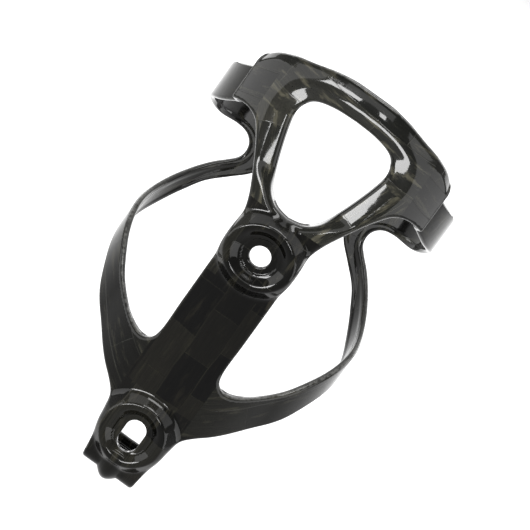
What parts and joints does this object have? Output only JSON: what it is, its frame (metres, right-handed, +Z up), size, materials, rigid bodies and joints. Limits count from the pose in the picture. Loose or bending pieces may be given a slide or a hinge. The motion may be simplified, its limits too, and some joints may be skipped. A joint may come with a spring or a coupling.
{
  "type": "water bottle cage",
  "caption": "Moulded carbon fibre bottle cage: a bossed back spine, a windowed head with ears, and two wrap-round arms over a shelf.",
  "frame": {"origin": "centre of the upper boss's seat, where the line of the upper bolt crosses the plane that the cage's bosses rest on", "axes": "+Z up along the bottle, +Y from the bicycle frame tube to the bottle, +X to the right seen from the frame tube"},
  "size_m": [0.08, 0.0833, 0.1353],
  "materials": {
    "carbon_back": "clear-coated carbon fibre, broad dark plies along the spine",
    "carbon_boss": "clear-coated carbon fibre, wet gloss over the raised bosses",
    "carbon_foot": "clear-coated carbon fibre",
    "carbon_arm": "clear-coated carbon fibre, plies along the arms",
    "carbon_head": "clear-coated carbon fibre, patchy short plies"
  },
  "bodies": {
    "root": {"spine_web": "carbon_back", "upper_boss": "carbon_boss", "lower_boss": "carbon_boss", "foot": "carbon_foot", "foot_bead": "carbon_foot", "bottle_shelf": "carbon_foot", "left_arm": "carbon_arm", "right_arm": "carbon_arm", "left_strut": "carbon_head", "right_strut": "carbon_head", "head_band": "carbon_head", "head_lip": "carbon_head", "left_ear": "carbon_arm", "right_ear": "carbon_arm", "left_link": "carbon_arm", "right_link": "carbon_arm"}
  },
  "joints": []
}
